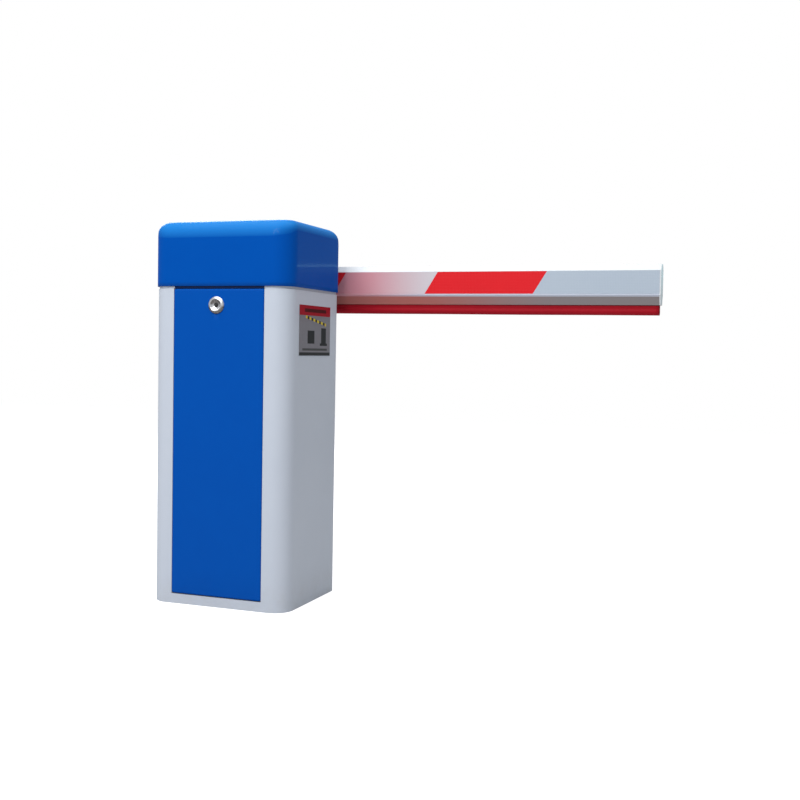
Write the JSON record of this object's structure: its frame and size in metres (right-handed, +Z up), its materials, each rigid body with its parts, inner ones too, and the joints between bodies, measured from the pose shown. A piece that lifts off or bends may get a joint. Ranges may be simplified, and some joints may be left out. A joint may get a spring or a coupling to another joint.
{
  "type": "parking barrier gate",
  "caption": "Motorised parking barrier: upright steel cabinet with lift-off hood and tilt-out door, crank drive and balance springs, and a short striped boom behind it.",
  "frame": {"origin": "middle of the cabinet's foot, on the ground, centre of the four anchor holes", "axes": "+X along the lowered boom from the cabinet to its free end, -Y out of the door side, +Z up"},
  "size_m": [1.2, 0.4248, 0.95],
  "materials": {
    "blue_paint": "gloss powder coat",
    "light_paint": "satin powder coat",
    "foot_paint": "matt primer",
    "zinc": "bright zinc plate",
    "dark_steel": "phosphated",
    "bare_steel": "ground",
    "chrome": "polished",
    "cast_alloy": "as cast",
    "boom_alloy": "satin anodised",
    "boom_white": "gloss powder coat",
    "arm_orange": "satin enamel",
    "motor_paint": "hammered enamel",
    "bearing_iron": "painted casting",
    "bronze": "cast bronze",
    "brass_sensor": "nickel brass",
    "black_rubber": "matt",
    "red_rubber": "satin",
    "red_film": "retroreflective sheet",
    "silver_film": "retroreflective sheet",
    "grey_plastic": "moulded",
    "light_plastic": "moulded",
    "black_plastic": "moulded",
    "orange_plastic": "moulded",
    "board_green": "solder mask",
    "plate_print": "printed plate",
    "spring_black": "black oxide"
  },
  "bodies": {
    "cabinet": {"base_plate": "foot_paint", "anchor_pads": "zinc", "cable_grommet": "black_rubber", "cabinet_shell": "light_paint", "door_frame": "light_paint", "door_gasket": "black_rubber", "hood_ledge": "zinc", "chassis_rails": "zinc", "chassis_floor": "zinc", "chassis_front_plate": "dark_steel", "chassis_rear_plate": "dark_steel", "tie_rods": "zinc", "chassis_bolts": "zinc", "shaft_bearings": "bearing_iron", "stop_posts": "zinc", "stop_bumpers": "black_rubber", "gearbox_housing": "cast_alloy", "gearbox_cover": "cast_alloy", "motor_body": "motor_paint", "motor_cowl": "black_plastic", "spring_anchor": "zinc", "spring_adjusters": "zinc", "position_sensors": "brass_sensor", "gear_tray": "zinc", "control_box": "grey_plastic", "control_lid": "grey_plastic", "circuit_board": "board_green", "terminal_rail": "light_plastic", "breaker_body": "light_plastic", "capacitor": "light_plastic", "shaft_seal": "black_rubber", "info_plate": "plate_print", "balance_springs": "spring_black"},
    "boom": {"main_shaft": "bare_steel", "drive_arm": "arm_orange", "spring_lever": "arm_orange", "sensor_flag": "zinc", "boom_hub": "bare_steel", "clamp_inner": "boom_white", "clamp_outer": "boom_white", "clamp_bolts": "zinc", "boom_extrusion": "boom_alloy", "boom_end_caps": "boom_white", "boom_rubber": "red_rubber", "film_silver": "silver_film", "film_red": "red_film"},
    "crank": {"output_shaft": "bare_steel", "worm_wheel": "bronze", "crank_arm": "arm_orange"},
    "rod": {"connecting_rod": "zinc"},
    "hanger": {"spring_hanger": "zinc"},
    "rotor": {"rotor_shaft": "bare_steel", "handwheel": "orange_plastic"},
    "hood": {"hood": "blue_paint", "hood_brackets": "zinc"},
    "door": {"door_panel": "blue_paint", "door_brackets": "zinc", "lock_housing": "chrome"},
    "lock": {"lock_plug": "dark_steel"},
    "toggle": {"breaker_toggle": "black_plastic"}
  },
  "joints": [
    {"name": "boom_lift", "type": "hinge", "parent": "cabinet", "child": "boom", "pos_m": [0, 0, 0.81], "axis": [0, -1, 0], "range_deg": [0, 90], "deforming": ["balance_springs"]},
    {"name": "crank_turn", "type": "hinge", "parent": "cabinet", "child": "crank", "pos_m": [0, 0, 0.6], "axis": [0, -1, 0], "range_deg": [0, 90]},
    {"name": "rod_swing", "type": "hinge", "parent": "crank", "child": "rod", "pos_m": [0.04243, 0, 0.55757], "axis": [0, -1, 0], "range_deg": [-90, 0]},
    {"name": "hanger_swing", "type": "hinge", "parent": "boom", "child": "hanger", "pos_m": [-0.05303, 0, 0.86303], "axis": [0, -1, 0], "range_deg": [-90, 0]},
    {"name": "rotor_spin", "type": "hinge", "parent": "cabinet", "child": "rotor", "pos_m": [0.045, -0.012, 0.6], "axis": [0, 0, 1], "range_deg": [0, 2700]},
    {"name": "hood_lift", "type": "slide", "parent": "cabinet", "child": "hood", "axis": [0, 0, 1], "range_m": [0, 0.25]},
    {"name": "door_tilt", "type": "hinge", "parent": "cabinet", "child": "door", "pos_m": [0, -0.1535, 0.034], "axis": [1, 0, 0], "range_deg": [0, 75]},
    {"name": "lock_turn", "type": "hinge", "parent": "door", "child": "lock", "pos_m": [-0.005, -0.16, 0.741], "axis": [0, -1, 0], "range_deg": [0, 90]},
    {"name": "breaker_switch", "type": "hinge", "parent": "cabinet", "child": "toggle", "pos_m": [0.096, -0.125, 0.22], "axis": [1, 0, 0], "range_deg": [0, 70]}
  ],
  "couplings": [
    {"joint": "crank_turn", "follows": "boom_lift", "ratio": 1},
    {"joint": "rod_swing", "follows": "boom_lift", "ratio": -1},
    {"joint": "hanger_swing", "follows": "boom_lift", "ratio": -1},
    {"joint": "rotor_spin", "follows": "boom_lift", "ratio": 30}
  ]
}
